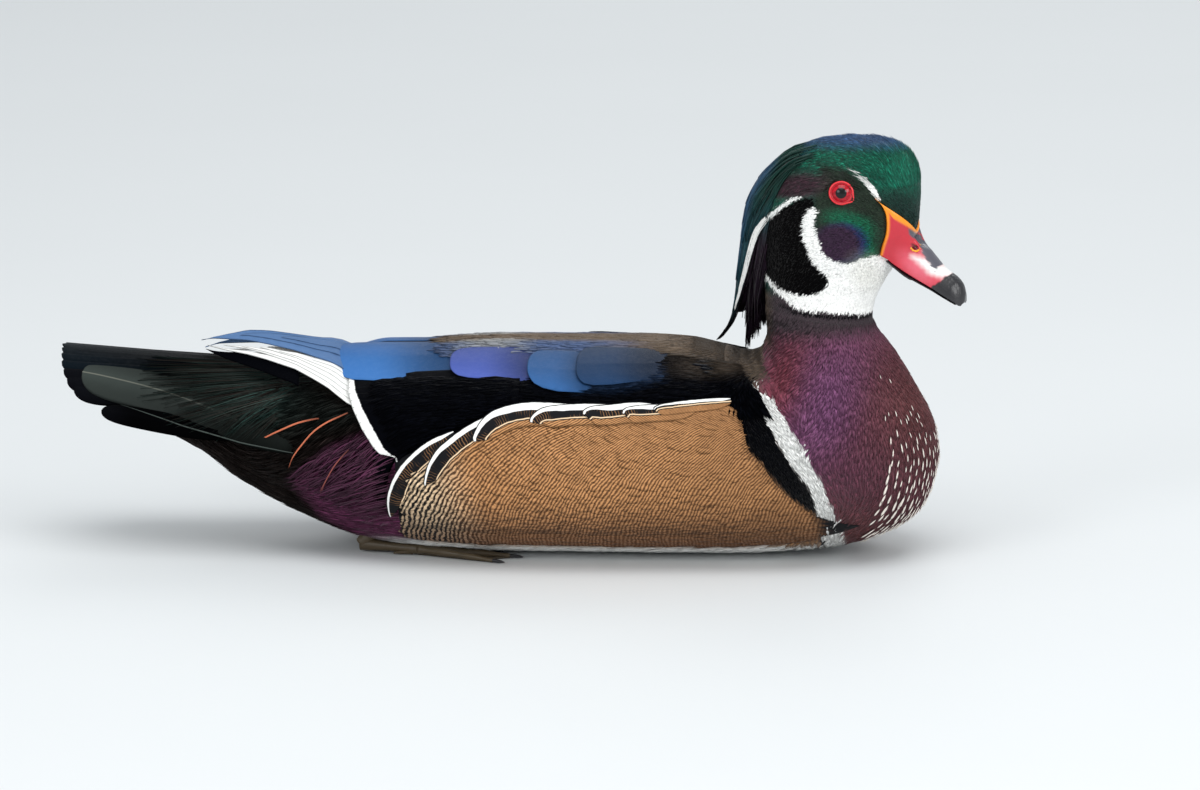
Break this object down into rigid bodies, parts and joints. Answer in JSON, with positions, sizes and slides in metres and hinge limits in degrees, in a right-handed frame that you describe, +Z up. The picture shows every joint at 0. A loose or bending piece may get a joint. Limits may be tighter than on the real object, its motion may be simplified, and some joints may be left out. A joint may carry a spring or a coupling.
{
  "type": "wood duck model",
  "caption": "Life-size still model of a drake wood duck afloat, with folded wings, raised tail and drooping crest, resting on the flat of its belly.",
  "frame": {"origin": "centre of the model's outline seen from above, at the level that the belly rests on", "axes": "+X towards the bill, +Y to the bird's left, +Z up"},
  "size_m": [0.4349, 0.142, 0.2028],
  "materials": {
    "plumage_black": "matt black feathers with a weak green sheen",
    "plumage_brown": "satin bronze-brown feathers",
    "plumage_chestnut": "satin purple-chestnut feathers with white flecks",
    "plumage_green": "glossy feathers with a green, blue and purple sheen",
    "plumage_tail": "satin black feathers",
    "plumage_buff": "soft buff feathers with fine dark wavy lines",
    "plumage_wing": "velvety black feathers with a blue sheen",
    "skin_of_the_legs": "dull yellow scaled skin",
    "bill": "smooth red, white and black horn",
    "bill_black": "smooth black horn",
    "eye": "wet gloss, red with a black pupil"
  },
  "bodies": {
    "root": {"rump": "plumage_black", "torso": "plumage_brown", "breast": "plumage_chestnut", "neck": "plumage_chestnut", "head": "plumage_green", "crest": "plumage_green", "tail": "plumage_tail", "bill_upper": "bill", "bill_lower": "bill_black", "flank_right": "plumage_buff", "wing_right": "plumage_wing", "leg_right": "skin_of_the_legs", "eye_right": "eye", "flank_left": "plumage_buff", "wing_left": "plumage_wing", "leg_left": "skin_of_the_legs", "eye_left": "eye"}
  },
  "joints": []
}
